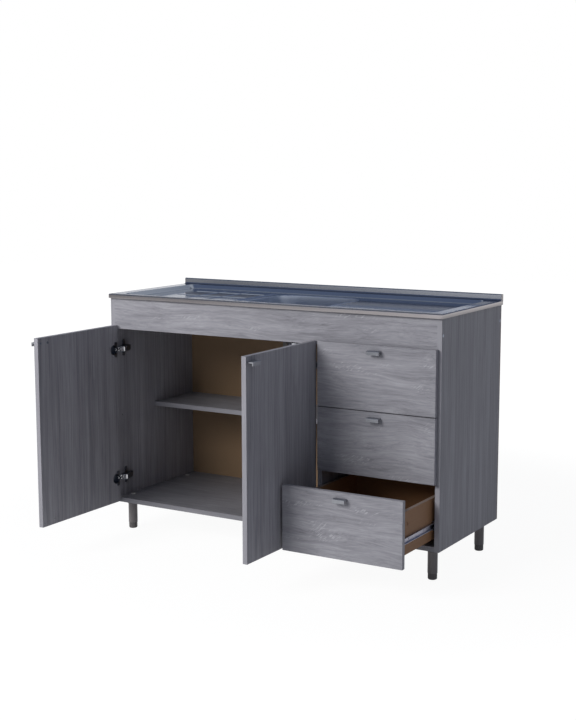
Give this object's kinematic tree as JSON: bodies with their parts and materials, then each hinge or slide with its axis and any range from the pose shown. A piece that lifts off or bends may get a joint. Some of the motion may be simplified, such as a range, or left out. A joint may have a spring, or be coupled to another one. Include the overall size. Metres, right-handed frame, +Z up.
{
  "type": "kitchen sink unit",
  "caption": "Free-standing kitchen sink cabinet with pressed steel top, drainer and bowl, hinged doors and a bank of drawers on ball slides.",
  "frame": {"origin": "on the floor, at mid width, in the plane of the sink top's rear face against the wall", "axes": "+X along the width to the drawers, +Y into the wall, +Z up"},
  "size_m": [1.2, 0.835, 0.815],
  "materials": {
    "melamine_grey": "satin melamine board with printed wood grain",
    "melamine_front": "satin melamine fronts with printed wood grain",
    "fibreboard": "bare thin fibreboard",
    "drawer_board": "plain brown-grey coated board",
    "stainless": "satin pressed stainless steel",
    "handle_satin": "satin anodised",
    "slide_steel": "zinc-plated steel",
    "hinge_dark": "dark plated die-cast",
    "hinge_bright": "bright nickel plate",
    "screw_zinc": "zinc-plated",
    "leg_plastic": "grey-brown moulded plastic",
    "leg_metal": "grey-brown coated tube",
    "white_plastic": "moulded plastic",
    "grey_plastic": "moulded plastic",
    "black_plastic": "moulded plastic",
    "rubber": "soft gasket"
  },
  "bodies": {
    "carcass": {"side_panel_left": "melamine_grey", "side_panel_right": "melamine_grey", "bottom_panel": "melamine_grey", "front_apron": "melamine_grey", "rear_rail": "melamine_grey", "divider_panel": "melamine_grey", "back_board_left": "fibreboard", "back_board_right": "fibreboard", "back_joint_strip": "grey_plastic", "shelf": "melamine_grey", "shelf_pins": "screw_zinc", "carcass_screws": "screw_zinc", "cam_caps": "white_plastic", "leg_plates": "leg_plastic", "leg_tubes": "leg_metal", "leg_feet": "leg_plastic", "sink_top": "stainless", "sink_bowl": "stainless", "waste_body": "stainless", "waste_gasket": "rubber", "waste_nut": "black_plastic", "tailpiece": "black_plastic", "top_brackets": "slide_steel", "hinge_plates": "hinge_dark", "hinge_arms": "hinge_dark", "slide_members": "slide_steel"},
    "basket": {"strainer_basket": "stainless"},
    "inner_links_left": {"inner_links_left": "hinge_bright"},
    "door_left": {"door_panel_left": "melamine_front", "door_handle_left": "handle_satin", "hinge_cups_left": "hinge_bright"},
    "outer_links_left": {"outer_links_left": "hinge_bright"},
    "inner_links_right": {"inner_links_right": "hinge_bright"},
    "door_right": {"door_panel_right": "melamine_front", "door_handle_right": "handle_satin", "hinge_cups_right": "hinge_bright"},
    "outer_links_right": {"outer_links_right": "hinge_bright"},
    "drawer_bottom": {"drawer_front_bottom": "melamine_front", "drawer_sides_bottom": "drawer_board", "drawer_back_bottom": "drawer_board", "drawer_floor_bottom": "fibreboard", "drawer_handle_bottom": "handle_satin", "drawer_runners_bottom": "slide_steel"},
    "ball_cages_bottom": {"ball_cages_bottom": "grey_plastic"},
    "drawer_middle": {"drawer_front_middle": "melamine_front", "drawer_sides_middle": "drawer_board", "drawer_back_middle": "drawer_board", "drawer_floor_middle": "fibreboard", "drawer_handle_middle": "handle_satin", "drawer_runners_middle": "slide_steel"},
    "ball_cages_middle": {"ball_cages_middle": "grey_plastic"},
    "drawer_top": {"drawer_front_top": "melamine_front", "drawer_sides_top": "drawer_board", "drawer_back_top": "drawer_board", "drawer_floor_top": "fibreboard", "drawer_handle_top": "handle_satin", "drawer_runners_top": "slide_steel"},
    "ball_cages_top": {"ball_cages_top": "grey_plastic"}
  },
  "joints": [
    {"name": "inner_link_left_turn", "type": "hinge", "parent": "carcass", "child": "inner_links_left", "pos_m": [-0.56622, -0.4396, 0.3975], "axis": [0, 0, 1], "range_deg": [-46.8, 0]},
    {"name": "door_left_swing", "type": "hinge", "parent": "inner_links_left", "child": "door_left", "pos_m": [-0.56911, -0.45361, 0.3975], "axis": [0, 0, 1], "range_deg": [0, 136.7]},
    {"name": "outer_link_left_turn", "type": "hinge", "parent": "door_left", "child": "outer_links_left", "pos_m": [-0.56586, -0.45304, 0.3975], "axis": [0, 0, 1], "range_deg": [-119.98, 0]},
    {"name": "inner_link_right_turn", "type": "hinge", "parent": "carcass", "child": "inner_links_right", "pos_m": [0.17522, -0.4396, 0.3975], "axis": [0, 0, -1], "range_deg": [-46.8, 0]},
    {"name": "door_right_swing", "type": "hinge", "parent": "inner_links_right", "child": "door_right", "pos_m": [0.17811, -0.45361, 0.3975], "axis": [0, 0, -1], "range_deg": [0, 136.7]},
    {"name": "outer_link_right_turn", "type": "hinge", "parent": "door_right", "child": "outer_links_right", "pos_m": [0.17486, -0.45304, 0.3975], "axis": [0, 0, -1], "range_deg": [-119.98, 0]},
    {"name": "drawer_bottom_slide", "type": "slide", "parent": "carcass", "child": "drawer_bottom", "axis": [0, -1, 0], "range_m": [-0.203, 0.097]},
    {"name": "ball_cages_bottom_slide", "type": "slide", "parent": "carcass", "child": "ball_cages_bottom", "axis": [0, -1, 0], "range_m": [-0.102, 0.049]},
    {"name": "drawer_middle_slide", "type": "slide", "parent": "carcass", "child": "drawer_middle", "axis": [0, -1, 0], "range_m": [0, 0.3]},
    {"name": "ball_cages_middle_slide", "type": "slide", "parent": "carcass", "child": "ball_cages_middle", "axis": [0, -1, 0], "range_m": [-0.0005, 0.1505]},
    {"name": "drawer_top_slide", "type": "slide", "parent": "carcass", "child": "drawer_top", "axis": [0, -1, 0], "range_m": [0, 0.3]},
    {"name": "ball_cages_top_slide", "type": "slide", "parent": "carcass", "child": "ball_cages_top", "axis": [0, -1, 0], "range_m": [-0.0005, 0.1505]},
    {"name": "basket_lift", "type": "slide", "parent": "carcass", "child": "basket", "axis": [0, 0, 1], "range_m": [0, 0.06]}
  ],
  "couplings": [
    {"joint": "inner_link_left_turn", "follows": "door_left_swing", "ratio": -0.34163},
    {"joint": "outer_link_left_turn", "follows": "door_left_swing", "ratio": -0.87695},
    {"joint": "inner_link_right_turn", "follows": "door_right_swing", "ratio": -0.34163},
    {"joint": "outer_link_right_turn", "follows": "door_right_swing", "ratio": -0.87695},
    {"joint": "ball_cages_bottom_slide", "follows": "drawer_bottom_slide", "ratio": 0.5},
    {"joint": "ball_cages_middle_slide", "follows": "drawer_middle_slide", "ratio": 0.5},
    {"joint": "ball_cages_top_slide", "follows": "drawer_top_slide", "ratio": 0.5}
  ]
}
